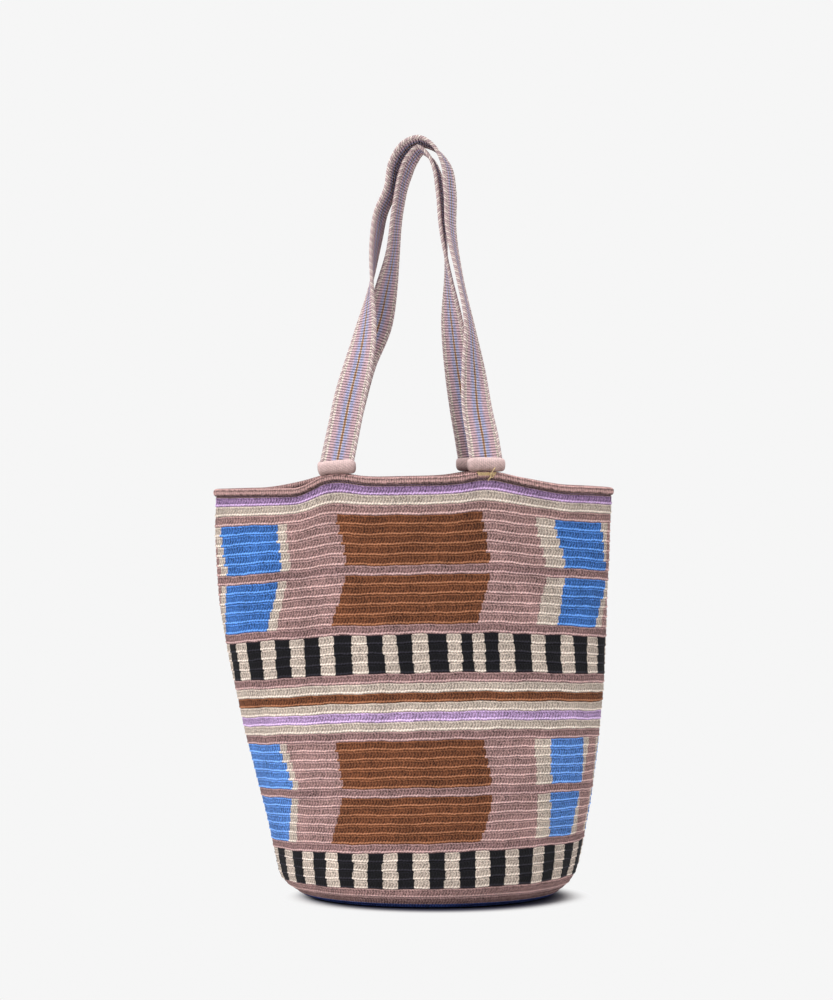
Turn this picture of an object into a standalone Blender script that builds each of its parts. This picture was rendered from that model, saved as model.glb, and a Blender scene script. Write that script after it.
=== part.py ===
"""Crocheted bag with two woven handles, in metres, +Z up, the front towards -Y.

The origin is the middle of the flat underside. The wall is one crocheted shell: every row has the
same girth, so an oval at the foot becomes a long, narrow lens at the mouth.
"""
import bmesh
import bpy
import numpy as np
from mathutils import Matrix, Vector

# Wall, from the flat underside up to the mouth
GIRTH = 0.689
FOOT_HALF_WIDTH = 0.116
MOUTH_HALF_WIDTH = 0.1625
FOOT_ROUNDING = 0.024
WALL = 0.003
ROWS = 44
FIRST_ROW_HEIGHT = 0.003
ROW_PITCH_FOOT = 0.00672
ROW_PITCH_MOUTH = 0.00826
ROW_RELIEF = 0.0011
CREST = 0.4  # where a row is fullest, as a share of its pitch
MOUTH_POINT = 1.5  # 1 is an ellipse, more draws the two ends of the mouth to a point
FLATTEST = 0.24  # half width of the flattest row as a share of its girth: a wider row stretches

# How the soft wall stands
MOUTH_LEAN = -0.012
ROW_TILT = 0.0031
ROW_SAG = 0.0023
CORNER_DROOP = 0.0105
MOUTH_DIP = 0.0014
SHELF = 0.80  # where the mouth has come down to its corners, as a share of its half width
FRONT_LEFT_SHELF = 0.60
BACK_RISE = 0.0015
STRAP_LIFT = 0.0040
STRAP_LIFT_SPREAD = 0.018

# Soft folds: x, row, depth inwards, half width, half height in rows, side (-1 front, 1 back)
FOLDS = (
    (-0.070, 37, 0.0040, 0.011, 6.0, -1),
    (-0.035, 30, -0.0025, 0.024, 9.0, -1),
    (0.052, 36, 0.0022, 0.014, 7.0, -1),
    (-0.010, 16, -0.0030, 0.060, 8.0, -1),
    (-0.060, 34, 0.0030, 0.014, 8.0, 1),
    (0.030, 30, 0.0025, 0.018, 9.0, 1),
)

# Corded edge round the mouth
EDGE_RADIUS = 0.0031
SEAT_GAP = 0.0003

# Handles: a woven band with a corded bead along each edge
STRAP_WIDTH = 0.027
STRAP_THICKNESS = 0.0022
BEAD_RADIUS = 0.0016
FRONT_LEFT_ROOT = -0.0732  # where the middle of each handle end lies along x
FRONT_RIGHT_ROOT = 0.0459
BACK_LEFT_ROOT = -0.0761
BACK_RIGHT_ROOT = 0.0381
HANDLE_X = -0.0065
FRONT_HANDLE_TOP = 0.6094
BACK_HANDLE_DROP = 0.0062  # how far the back handle lies below the front one, at the top
HANDLE_SPREAD = 0.002  # how far each handle's top lies from the middle plane
TOP_TILT = 0.3

# Wrapped cuffs that bind the handles to the edge
CUFF_OVERHANG = 0.0018  # past each edge of the handle
CUFF_LENGTH = STRAP_WIDTH + 2.0 * CUFF_OVERHANG
CUFF_HEIGHT = 0.0108
CUFF_DEPTH = 0.010
POCKET_DEPTH = 0.0036
POCKET_GAP = 0.0005

# How finely the curved pieces are cut
WALL_STATIONS = 52
STATION_BIAS = 0.4  # crowds the stations towards the two ends of the mouth
OUTLINE_SAMPLES = 1440
LINING_STEP = 4  # rows between two rings of the inner face
STRAP_STATIONS = 56

# Each leg, from its root up: rise, way across and way inwards as shares, and turn in degrees
FRONT_LEFT_LEG = (
    (0.08, 0.060, 0.14, -11),
    (0.18, 0.134, 0.30, -11),
    (0.39, 0.320, 0.60, -44),
    (0.55, 0.397, 0.80, -85),
    (0.70, 0.462, 0.92, -107),
    (0.78, 0.520, 1.00, -110),
    (0.85, 0.635, 1.00, -110),
    (0.93, 0.700, 1.00, -110),
    (0.985, 0.850, 1.00, -110),
)
FRONT_RIGHT_LEG = (
    (0.08, 0.060, 0.14, -166),
    (0.15, 0.126, 0.26, -158),
    (0.29, 0.187, 0.48, -133),
    (0.42, 0.240, 0.66, -106),
    (0.58, 0.400, 0.84, -99),
    (0.73, 0.530, 1.00, -106),
    (0.85, 0.545, 1.00, -110),
    (0.93, 0.610, 1.00, -110),
    (0.985, 0.815, 1.00, -110),
)
BACK_LEFT_LEG = (
    (0.08, 0.065, 0.14, 9),
    (0.20, 0.170, 0.32, 9),
    (0.32, 0.300, 0.50, 18),
    (0.44, 0.500, 0.66, 32),
    (0.56, 0.600, 0.80, 50),
    (0.66, 0.670, 0.90, 68),
    (0.81, 0.735, 1.00, 74),
    (0.915, 0.815, 1.00, 72),
    (0.970, 0.900, 1.00, 72),
)
BACK_RIGHT_LEG = (
    (0.08, 0.080, 0.14, 167),
    (0.15, 0.160, 0.26, 160),
    (0.28, 0.290, 0.46, 147),
    (0.44, 0.411, 0.68, 130),
    (0.61, 0.500, 0.86, 95),
    (0.75, 0.590, 1.00, 80),
    (0.87, 0.640, 1.00, 77),
    (0.930, 0.700, 1.00, 75),
    (0.975, 0.820, 1.00, 73),
)
FRONT_TOP_TURN = -110
BACK_TOP_TURN = 72

FRONT_ROOTS = (FRONT_LEFT_ROOT, FRONT_RIGHT_ROOT)
BACK_ROOTS = (BACK_LEFT_ROOT, BACK_RIGHT_ROOT)

# Colours, linear RGB
DUSTY_PINK = (0.42, 0.24, 0.23)
PALE_PINK = (0.50, 0.30, 0.29)
BAND_ROSE = (0.47, 0.30, 0.30)


def smoothstep(low, high, value):
    t = np.clip((value - low) / (high - low), 0.0, 1.0)
    return t * t * (3.0 - 2.0 * t)


def row_height(row):
    """Height of a row above the floor: the pitch grows evenly from the foot to the mouth."""
    growth = (ROW_PITCH_MOUTH - ROW_PITCH_FOOT) / (2.0 * ROWS)
    return FIRST_ROW_HEIGHT + ROW_PITCH_FOOT * row + growth * row * row


WALL_HEIGHT = row_height(ROWS)


def half_width(height):
    share = np.sin(0.5 * np.pi * np.clip(height / WALL_HEIGHT, 0.0, 1.0)) ** 0.95
    return FOOT_HALF_WIDTH + (MOUTH_HALF_WIDTH - FOOT_HALF_WIDTH) * share


def point_power(height):
    return 1.0 + (MOUTH_POINT - 1.0) * smoothstep(0.1, 1.0, height / WALL_HEIGHT)


def outline(half_x, half_y, power):
    """A closed outline from the front middle round by +X, as an ellipse drawn to two points."""
    angle = np.linspace(-0.5 * np.pi, 1.5 * np.pi, OUTLINE_SAMPLES + 1)
    sine = np.sin(angle)
    return half_x * np.cos(angle), half_y * np.sign(sine) * np.abs(sine) ** power


def girth(half_x, half_y, power):
    x, y = outline(half_x, half_y, power)
    return np.hypot(np.diff(x), np.diff(y)).sum()


def half_depth(height):
    """The half depth that gives the row its girth at this height's width."""
    half_x, power = half_width(height), point_power(height)
    row_girth = max(GIRTH, half_x / FLATTEST)
    low, high = 0.0, row_girth
    for _ in range(40):
        middle = 0.5 * (low + high)
        if girth(half_x, middle, power) > row_girth:
            high = middle
        else:
            low = middle
    return 0.5 * (low + high)


def side_inset(height, depth):
    """How far a face at this depth in the wall lies inside the row's outline."""
    below = FOOT_ROUNDING - height
    if below <= 0.0:
        return depth
    reach = max((FOOT_ROUNDING - depth) ** 2 - below**2, 0.0)
    return FOOT_ROUNDING - np.sqrt(reach)


def fold_push(x, row, side):
    """Inward push of the soft folds on the front or the back."""
    push = 0.0
    for fold_x, fold_row, depth, spread, reach, fold_side in FOLDS:
        near = np.exp(-(((x - fold_x) / spread) ** 2) - ((row - fold_row) / reach) ** 2)
        push = push + depth * near * (side == fold_side)
    return push


def root_lift(x, side):
    """How far the handles pull the mouth's edge up at their ends."""
    lift = 0.0
    for root_side, roots in ((-1, FRONT_ROOTS), (1, BACK_ROOTS)):
        for root in roots:
            near = np.exp(-(((x - root) / STRAP_LIFT_SPREAD) ** 2))
            lift = lift + STRAP_LIFT * near * (side == root_side)
    return lift


def wall_ring(row, depth, shares, height=None):
    """Points of the wall at a row, at a depth below its outer face, at shares of the girth."""
    height = row_height(row) if height is None else height
    half_x, half_y, power = half_width(height), half_depth(height), point_power(height)
    inset = side_inset(height, depth)
    x, y = outline(half_x, half_y, power)
    along = np.concatenate(([0.0], np.cumsum(np.hypot(np.diff(x), np.diff(y)))))
    at = np.asarray(shares) * along[-1]
    x, y = np.interp(at, along, x), np.interp(at, along, y)
    across, in_out = x / half_x, y / half_y
    tip_inset = inset + depth * height / WALL_HEIGHT
    x = x * (half_x - tip_inset) / half_x
    y = y * (half_y - inset) / half_y
    side = np.where(in_out < 0.0, -1, 1)
    x = x + MOUTH_LEAN * smoothstep(0.18, 0.76, height / WALL_HEIGHT)

    up = np.clip(row / ROWS, 0.0, 1.0)
    near_mouth = np.exp((row - ROWS) / 6.0)
    arch = np.abs(across) ** 2.3
    shelf = np.where((across < 0.0) & (side < 0), FRONT_LEFT_SHELF, SHELF)
    plateau = 0.75 * smoothstep(0.43, shelf, np.abs(across)) + 0.25 * across**2
    droop = CORNER_DROOP * up**1.3 * (arch + (plateau - arch) * near_mouth)
    dip = MOUTH_DIP * near_mouth * (1.0 - plateau)
    sag = ROW_SAG * np.sin(np.pi * up) ** 1.5 * (across**2 - 0.25)
    tilt = ROW_TILT * across * smoothstep(0.0, 0.08, up) * (1.0 - 0.8 * near_mouth * across**2)
    rise = BACK_RISE * near_mouth * np.sqrt(np.clip(in_out, 0.0, 1.0))
    z = height - droop - dip - sag + tilt + rise + root_lift(x, side) * near_mouth
    y = y - side * fold_push(x, row, side) * np.abs(in_out)
    return np.stack((x, y, z), axis=1)


def station_shares():
    even = np.arange(WALL_STATIONS) / WALL_STATIONS
    return even + STATION_BIAS / (4.0 * np.pi) * np.sin(4.0 * np.pi * even)


def new_object(name, mesh_data, colour, roughness):
    """Links a mesh made from vertices and faces, shaded smooth, with its own material."""
    vertices, faces = mesh_data
    mesh = bpy.data.meshes.new(name)
    mesh.from_pydata([tuple(v) for v in vertices], [], faces)
    bm = bmesh.new()
    bm.from_mesh(mesh)
    bmesh.ops.recalc_face_normals(bm, faces=bm.faces)
    bm.to_mesh(mesh)
    bm.free()
    mesh.shade_smooth()
    mesh.set_sharp_from_angle(angle=np.radians(40.0))
    material = bpy.data.materials.new(name)
    material.use_nodes = True
    shader = material.node_tree.nodes["Principled BSDF"]
    shader.inputs["Base Color"].default_value = (*colour, 1.0)
    shader.inputs["Roughness"].default_value = roughness
    shader.inputs["Metallic"].default_value = 0.0
    mesh.materials.append(material)
    piece = bpy.data.objects.new(name, mesh)
    bpy.context.collection.objects.link(piece)
    return piece


def joined_rings(rings, closed=False):
    """Vertices and quads of rings of equal length, each joined to the next."""
    size = len(rings[0])
    count = len(rings)
    faces = []
    for ring in range(count if closed else count - 1):
        here, there = ring * size, (ring + 1) % count * size
        for k in range(size):
            nxt = (k + 1) % size
            faces.append((here + k, here + nxt, there + nxt, there + k))
    return np.concatenate(rings), faces


def make_bag_body():
    """Underside, ridged outer face, mouth, inner face and inner floor, as one closed shell."""
    shares = station_shares()
    rings = [wall_ring(0, 0.0, shares, height=0.0)]
    rings[0][:, 2] = 0.0
    rings.append(wall_ring(0, 0.0, shares, height=0.25 * FIRST_ROW_HEIGHT))
    for row in range(ROWS):
        rings.append(wall_ring(row, ROW_RELIEF, shares))
        rings.append(wall_ring(row + CREST, 0.0, shares))
    rings.append(wall_ring(ROWS, 0.0, shares))
    rings.append(wall_ring(ROWS, WALL, shares))
    for row in range(ROWS - 1, 0, -LINING_STEP):
        rings.append(wall_ring(row, WALL, shares))
    rings.append(wall_ring(0, WALL, shares, height=WALL + 0.1 * FOOT_ROUNDING))
    rings.append(wall_ring(0, WALL, shares, height=WALL))
    rings[-1][:, 2] = WALL
    vertices, faces = joined_rings(rings)
    size, last = len(shares), len(vertices) - len(shares)
    vertices = np.concatenate((vertices, [(0.0, 0.0, 0.0), (0.0, 0.0, WALL)]))
    under, floor = len(vertices) - 2, len(vertices) - 1
    for k in range(size):
        nxt = (k + 1) % size
        faces.append((under, nxt, k))
        faces.append((floor, last + k, last + nxt))
    return new_object("bag_body", (vertices, faces), DUSTY_PINK, 0.9)


def edge_line():
    """Centre line of the corded edge, seated on the top of the wall, one point a station."""
    line = wall_ring(ROWS, 0.5 * WALL, station_shares())
    line[:, 2] += SEAT_GAP + EDGE_RADIUS
    return line


def make_rim_edging():
    line = edge_line()
    ahead = np.roll(line, -1, axis=0) - line
    behind = line - np.roll(line, 1, axis=0)
    flat = (ahead + behind)[:, :2]
    flat /= np.linalg.norm(flat, axis=1, keepdims=True)
    outward = np.stack((flat[:, 1], -flat[:, 0], np.zeros(len(line))), axis=1)
    up = np.array((0.0, 0.0, 1.0))
    turns = np.radians(np.arange(0, 360, 45))
    rings = []
    for point, out in zip(line, outward):
        rings.append([point + EDGE_RADIUS * (np.cos(t) * out + np.sin(t) * up) for t in turns])
    return new_object("rim_edging", joined_rings(rings, closed=True), DUSTY_PINK, 0.9)


def edge_at(x, side):
    """Point, direction towards +X and outward normal of the edge's centre line at an x."""
    line = edge_line()
    order = np.argsort(line[:, 0])
    half = [line[i] for i in order if line[i, 1] * side >= 0.0]
    half = np.array(half)
    point = np.array([np.interp(x, half[:, 0], half[:, k]) for k in range(3)])
    reach = 0.5 * STRAP_WIDTH
    far = np.array([np.interp(x + reach, half[:, 0], half[:, k]) for k in range(3)])
    near = np.array([np.interp(x - reach, half[:, 0], half[:, k]) for k in range(3)])
    along = (far - near) / np.linalg.norm(far - near)
    outward = np.array((-along[1], along[0], 0.0)) * side
    return point, along, outward / np.linalg.norm(outward)


def cuff_seat(x, side):
    """Middle of a cuff that sits on the edge at an x, with the edge's directions."""
    point, along, outward = edge_at(x, side)
    lift = EDGE_RADIUS + 2.0 * SEAT_GAP + 0.5 * CUFF_HEIGHT
    return point + np.array((0.0, 0.0, lift)), along, outward


def smooth_through(keys, count):
    """A smooth curve through key points, read at even steps of their chord length."""
    keys = np.asarray(keys, float)
    steps = np.linalg.norm(np.diff(keys[:, :3], axis=0), axis=1)
    at = np.concatenate(([0.0], np.cumsum(steps)))
    slopes = np.gradient(keys, at, axis=0)
    wanted = np.linspace(0.0, at[-1], count)
    low = np.clip(np.searchsorted(at, wanted, side="right") - 1, 0, len(at) - 2)
    span = (at[low + 1] - at[low])[:, None]
    t = (wanted - at[low])[:, None] / span
    start = (2 * t**3 - 3 * t**2 + 1) * keys[low] + (t**3 - 2 * t**2 + t) * span * slopes[low]
    end = (3 * t**2 - 2 * t**3) * keys[low + 1] + (t**3 - t**2) * span * slopes[low + 1]
    return start + end


def leg_keys(root, turn, top, stations):
    """Key points of one leg from its root up to the top: x, y, z, turn and rise."""
    keys = [(*root, turn, 0.0)]
    for rise, across, inward, angle in stations:
        x = root[0] + across * (top[0] - root[0])
        y = root[1] + inward * (top[1] - root[1])
        keys.append((x, y, root[2] + rise * (top[2] - root[2]), angle, rise))
    return keys


def strap_route(side, roots, left_leg, right_leg, top_turn, top_height):
    """Centre points and frames of a handle: tangent, width direction and face normal."""
    top = (HANDLE_X, side * HANDLE_SPREAD, top_height)
    ends, turns = [], []
    for x in roots:
        middle, along, _ = cuff_seat(x, side)
        ends.append(middle + np.array((0.0, 0.0, 0.5 * CUFF_HEIGHT - POCKET_DEPTH)))
        turns.append(np.degrees(np.arctan2(along[1], along[0])))
    half_turn = 180.0 * side
    keys = leg_keys(ends[0], turns[0], top, left_leg)
    keys.append((*top, top_turn, 1.0))
    keys += leg_keys(ends[1], turns[1] + half_turn, top, right_leg)[::-1]
    path = smooth_through(keys, STRAP_STATIONS)
    points, angle, rise = path[:, :3], np.radians(path[:, 3]), path[:, 4]
    tangent = np.gradient(points, axis=0)
    tangent /= np.linalg.norm(tangent, axis=1, keepdims=True)
    tilt = -TOP_TILT * np.sin(angle) * smoothstep(0.86, 1.0, rise)
    width = np.stack((np.cos(angle), np.sin(angle), tilt), axis=1)
    width -= tangent * np.sum(width * tangent, axis=1, keepdims=True)
    width /= np.linalg.norm(width, axis=1, keepdims=True)
    return points, tangent, width, np.cross(tangent, width)


def strap_section():
    """Section of a handle as offsets along its width and thickness: a band with two beads."""
    middle = 0.5 * STRAP_WIDTH - BEAD_RADIUS
    neck = np.arcsin(0.5 * STRAP_THICKNESS / BEAD_RADIUS)
    turns = np.linspace(-(np.pi - neck), np.pi - neck, 6)
    right = [(middle + BEAD_RADIUS * np.cos(t), BEAD_RADIUS * np.sin(t)) for t in turns]
    return right + [(-w, -n) for w, n in right]


def make_strap(name, route):
    points, _, width, normal = route
    rings = []
    for point, wide, out in zip(points, width, normal):
        rings.append([point + w * wide + n * out for w, n in strap_section()])
    vertices, faces = joined_rings(rings)
    size = len(rings[0])
    faces.append(tuple(range(size))[::-1])
    faces.append(tuple(range(len(vertices) - size, len(vertices))))
    return new_object(name, (vertices, faces), BAND_ROSE, 0.85)


def make_cuff(name, x, side):
    """A wrapped roll with full, rounded ends that lies along the edge."""
    middle, along, outward = cuff_seat(x, side)
    up = np.cross(outward, along) * -side
    turns = np.linspace(0.0, 2.0 * np.pi, 16, endpoint=False)
    rings = []
    for share in np.sin(np.radians(np.linspace(-84.0, 84.0, 11))):
        full = (1.0 - share**6) ** (1.0 / 3.0)
        centre = middle + along * share * 0.5 * CUFF_LENGTH
        ring = []
        for turn in turns:
            c, s = np.cos(turn), np.sin(turn)
            out = 0.5 * CUFF_DEPTH * full * np.sign(c) * np.abs(c) ** 0.75
            high = 0.5 * CUFF_HEIGHT * full * np.sign(s) * np.abs(s) ** 0.75
            ring.append(centre + outward * out + up * high)
        rings.append(ring)
    vertices, faces = joined_rings(rings)
    size = len(turns)
    faces.append(tuple(range(size))[::-1])
    faces.append(tuple(range(len(vertices) - size, len(vertices))))
    return new_object(name, (vertices, faces), PALE_PINK, 0.7)


def cut_pocket(cuff, point, tangent, width, normal):
    """Cuts the pocket that a handle's end sits in, a little larger than the handle all round."""
    wide = STRAP_WIDTH + 2.0 * POCKET_GAP
    thick = 2.0 * (BEAD_RADIUS + POCKET_GAP)
    tall = 3.0 * CUFF_HEIGHT
    middle = point + tangent * (0.5 * tall - POCKET_GAP)
    frame = Matrix((width, normal, tangent)).transposed().to_4x4()
    frame.translation = Vector(middle)
    bm = bmesh.new()
    bmesh.ops.create_cube(bm, size=1.0)
    bmesh.ops.scale(bm, vec=(wide, thick, tall), verts=bm.verts)
    bmesh.ops.transform(bm, matrix=frame, verts=bm.verts)
    bmesh.ops.recalc_face_normals(bm, faces=bm.faces)
    mesh = bpy.data.meshes.new(cuff.name + "_pocket_cutter")
    bm.to_mesh(mesh)
    bm.free()
    cutter = bpy.data.objects.new(mesh.name, mesh)
    bpy.context.collection.objects.link(cutter)
    cutter.hide_render = True
    cutter.display_type = "WIRE"
    cut = cuff.modifiers.new("pocket", "BOOLEAN")
    cut.operation = "DIFFERENCE"
    cut.solver = "EXACT"
    cut.object = cutter


def make_handle(name, side, roots, legs, top_turn, top_height):
    """A handle with its two cuffs."""
    route = strap_route(side, roots, *legs, top_turn, top_height)
    make_strap("strap_" + name, route)
    points, tangent, width, normal = route
    for end, place, x in ((0, "left", roots[0]), (-1, "right", roots[1])):
        cuff = make_cuff(f"cuff_{name}_{place}", x, side)
        upward = tangent[end] if end == 0 else -tangent[end]
        facing = normal[end] if end == 0 else -normal[end]
        cut_pocket(cuff, points[end], upward, width[end], facing)


def main():
    for old in list(bpy.data.objects):
        bpy.data.objects.remove(old, do_unlink=True)
    make_bag_body()
    make_rim_edging()
    front_legs = (FRONT_LEFT_LEG, FRONT_RIGHT_LEG)
    back_legs = (BACK_LEFT_LEG, BACK_RIGHT_LEG)
    back_top = FRONT_HANDLE_TOP - BACK_HANDLE_DROP
    make_handle("front", -1, FRONT_ROOTS, front_legs, FRONT_TOP_TURN, FRONT_HANDLE_TOP)
    make_handle("back", 1, BACK_ROOTS, back_legs, BACK_TOP_TURN, back_top)


main()
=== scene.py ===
"""Looks of a crocheted shoulder bag: stitched wall, corded mouth, woven handles and wrapped cuffs.

Places and sizes are in metres, unless a comment says otherwise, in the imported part's frame: +Z up,
the front towards -Y.
"""

import math

import bpy
import numpy as np
from mathutils import Matrix, Vector


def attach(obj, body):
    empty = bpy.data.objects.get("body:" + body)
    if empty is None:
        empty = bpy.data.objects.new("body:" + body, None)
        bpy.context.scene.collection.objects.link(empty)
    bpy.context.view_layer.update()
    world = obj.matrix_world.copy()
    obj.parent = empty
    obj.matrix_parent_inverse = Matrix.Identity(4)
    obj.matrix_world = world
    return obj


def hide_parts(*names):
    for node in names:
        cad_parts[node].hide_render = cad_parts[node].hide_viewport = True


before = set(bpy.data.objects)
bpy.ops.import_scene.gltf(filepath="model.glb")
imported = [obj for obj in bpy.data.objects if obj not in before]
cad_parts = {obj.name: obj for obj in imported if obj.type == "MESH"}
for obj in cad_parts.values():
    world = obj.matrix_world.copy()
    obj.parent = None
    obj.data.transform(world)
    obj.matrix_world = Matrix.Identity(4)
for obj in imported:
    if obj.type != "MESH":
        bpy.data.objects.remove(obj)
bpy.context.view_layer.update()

FULL_TURN = 2.0 * math.pi
MM = 0.001

# Wall, as the part's source gives it
GIRTH = 0.689
FOOT_HALF_WIDTH = 0.116
MOUTH_HALF_WIDTH = 0.1625
WIDENING_POWER = 0.95
FOOT_ROUNDING = 0.024
WALL = 0.003
ROWS = 44
FIRST_ROW_HEIGHT = 0.003
ROW_PITCH_FOOT = 0.00672
ROW_PITCH_MOUTH = 0.00826
ROW_RELIEF = 0.0011
MOUTH_POINT = 1.5
POINT_RISE = (0.1, 1.0)  # shares of the height between which the ellipse is drawn to two points
FLATTEST = 0.24  # half width of the flattest row as a share of its girth: a wider row stretches
MOUTH_LEAN = -0.012
LEAN_RISE = (0.18, 0.76)  # shares of the height between which the wall leans over
ROW_TILT = 0.0031
TILT_RISE = (0.0, 0.08)  # shares of the height between which the tilt sets in
TILT_CALM = 0.8  # share of the tilt that is gone at the mouth's corners
ROW_SAG = 0.0023
SAG_POWER = 1.5
SAG_LEVEL = 0.25  # squared share of the half width at which a row doesn't sag
CORNER_DROOP = 0.0105
DROOP_POWER = 1.3
ARCH_POWER = 2.3  # of a row's droop towards its corners, away from the mouth
MOUTH_REACH = 6.0  # rows over which the mouth's own line fades into the rows below it
MOUTH_DIP = 0.0014
SHELF_START = 0.43  # where the mouth begins to come down, as a share of its half width
SHELF = 0.80  # where it has come down to its corners
FRONT_LEFT_SHELF = 0.60
SHELF_SHARE = 0.75  # of the way down, the rest follows a plain curve
BACK_RISE = 0.0015
STRAP_LIFT = 0.0040
STRAP_LIFT_SPREAD = 0.018

# Soft folds: x, row, depth inwards, half width, half height in rows, side (-1 front, 1 back)
FOLDS = (
    (-0.070, 37, 0.0040, 0.011, 6.0, -1),
    (-0.035, 30, -0.0025, 0.024, 9.0, -1),
    (0.052, 36, 0.0022, 0.014, 7.0, -1),
    (-0.010, 16, -0.0030, 0.060, 8.0, -1),
    (-0.060, 34, 0.0030, 0.014, 8.0, 1),
    (0.030, 30, 0.0025, 0.018, 9.0, 1),
)

# Corded edge and handles, as the part's source gives them
EDGE_RADIUS = 0.0031
SEAT_GAP = 0.0003
STRAP_WIDTH = 0.027
STRAP_THICKNESS = 0.0022
BEAD_RADIUS = 0.0016
FRONT_ROOTS = (-0.0732, 0.0459)
BACK_ROOTS = (-0.0761, 0.0381)
HANDLE_X = -0.0065
FRONT_HANDLE_TOP = 0.6094
BACK_HANDLE_DROP = 0.0062
HANDLE_SPREAD = 0.002
TOP_TILT = 0.3
TOP_TILT_RISE = (0.86, 1.0)
CUFF_LENGTH = STRAP_WIDTH + 0.0036
CUFF_HEIGHT = 0.0108
CUFF_DEPTH = 0.010
POCKET_DEPTH = 0.0036
POCKET_GAP = 0.0005
WALL_STATIONS = 52
STATION_BIAS = 0.4
OUTLINE_SAMPLES = 1440

# Each leg, from its root up: rise, way across and way inwards as shares, and turn in degrees
FRONT_LEFT_LEG = (
    (0.08, 0.060, 0.14, -11),
    (0.18, 0.134, 0.30, -11),
    (0.39, 0.320, 0.60, -44),
    (0.55, 0.397, 0.80, -85),
    (0.70, 0.462, 0.92, -107),
    (0.78, 0.520, 1.00, -110),
    (0.85, 0.635, 1.00, -110),
    (0.93, 0.700, 1.00, -110),
    (0.985, 0.850, 1.00, -110),
)
FRONT_RIGHT_LEG = (
    (0.08, 0.060, 0.14, -166),
    (0.15, 0.126, 0.26, -158),
    (0.29, 0.187, 0.48, -133),
    (0.42, 0.240, 0.66, -106),
    (0.58, 0.400, 0.84, -99),
    (0.73, 0.530, 1.00, -106),
    (0.85, 0.545, 1.00, -110),
    (0.93, 0.610, 1.00, -110),
    (0.985, 0.815, 1.00, -110),
)
BACK_LEFT_LEG = (
    (0.08, 0.065, 0.14, 9),
    (0.20, 0.170, 0.32, 9),
    (0.32, 0.300, 0.50, 18),
    (0.44, 0.500, 0.66, 32),
    (0.56, 0.600, 0.80, 50),
    (0.66, 0.670, 0.90, 68),
    (0.81, 0.735, 1.00, 74),
    (0.915, 0.815, 1.00, 72),
    (0.970, 0.900, 1.00, 72),
)
BACK_RIGHT_LEG = (
    (0.08, 0.080, 0.14, 167),
    (0.15, 0.160, 0.26, 160),
    (0.28, 0.290, 0.46, 147),
    (0.44, 0.411, 0.68, 130),
    (0.61, 0.500, 0.86, 95),
    (0.75, 0.590, 1.00, 80),
    (0.87, 0.640, 1.00, 77),
    (0.930, 0.700, 1.00, 75),
    (0.975, 0.820, 1.00, 73),
)
FRONT_TOP_TURN = -110
BACK_TOP_TURN = 72

# Near a handle's top the turn of its edges is evened out over this length on both sides, and it
# sets in between these shares of the handle's rise
TOP_EASE = 0.012
TOP_EASE_RISE = (0.80, 0.93)

# Stitches: how many there are, and how finely one is modelled
STITCHES = 280
HALF_ROUND = STITCHES // 2  # the pattern runs twice round the bag
OUTER_COLUMNS = 4  # to a stitch
INNER_COLUMNS = 2
ROWS_PER_PIECE = 11
STROKE_SLANT = 1.5  # stitches by which the strokes of the stitches lean over one row
START_STEPS = 4  # a row starts at any of so many places within a stitch
OUTER_SEED = 100
INNER_SEED = 200
BAND_MARGIN = 0.3  # rows beyond a band of rows, which give its edges their normals
FOOT_MARGIN = 0.2

# One row of stitches from its lower groove up: place in the row, height and swing in mm
STITCH_RINGS = (
    (0.00, -0.30, 0.00),
    (0.10, 0.50, 0.05),
    (0.25, 0.58, 0.06),
    (0.35, 0.08, 0.09),
    (0.60, 0.14, 0.13),
    (0.86, 0.08, 0.09),
)
# The foot's two lowest rings take the underside's navy yarn, darkened as painted shade where the
# foot meets the floor; the top ring is dark pink, painted shade under the mouth's cord
EDGE_RINGS = {(0, 0): "shaded_navy", (0, 1): "shaded_navy", (ROWS - 1, 5): "shaded_pink"}  # row, ring: its colour, painted shade at the foot and under the mouth's cord
INNER_RINGS = (
    (0.00, -0.10, 0.00),
    (0.45, 0.42, 0.12),
)

# The same row as its material shows it: place in the row, brightness (painted highlight on the
# ridge, painted shade in the grooves), swing of the strokes' painted light and shade, height
ROW_PROFILE = (
    (0.00, 0.38, 0.00, 0.00),
    (0.05, 0.50, 0.10, 0.10),
    (0.10, 1.12, 0.22, 0.80),
    (0.16, 1.44, 0.24, 1.00),
    (0.22, 1.10, 0.22, 0.80),
    (0.28, 0.50, 0.16, 0.30),
    (0.36, 0.40, 0.17, 0.20),
    (0.58, 0.56, 0.21, 0.35),
    (0.76, 0.40, 0.17, 0.20),
    (0.83, 0.40, 0.10, 0.05),
    (0.89, 1.04, 0.18, 0.50),
    (0.94, 0.78, 0.12, 0.40),
    (1.00, 0.38, 0.00, 0.00),
)

# Small unevenness of hand work: mm, waves round the bag, turn for each row, start
UP_AND_DOWN = ((0.26, 11, 0.7, 0.0), (0.20, 23, -1.3, 1.0), (0.10, 57, 2.3, 2.0))
IN_AND_OUT = ((0.50, 9, 0.22, 0.5), (0.35, 17, -0.31, 2.1), (0.14, 41, 0.9, 4.0))
CALM_ROWS = 3.0  # rows next to the foot and the mouth over which it dies away

GROUND_ROUNDS = 12  # rounds of the underside, inside its rounded edge
GROUND_LIFT = 0.0009
GROUND_WAVE = (0.0, 0.5, 1.0, 0.5)  # one round of the underside from groove to groove
FLOOR_LIFT = 0.0007  # of every other ring of the inner floor
FOOT_EDGE_SHARES = (0.7, 0.45, 0.25, 0.1, 0.0)  # rings below the first row, shares of its height

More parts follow.
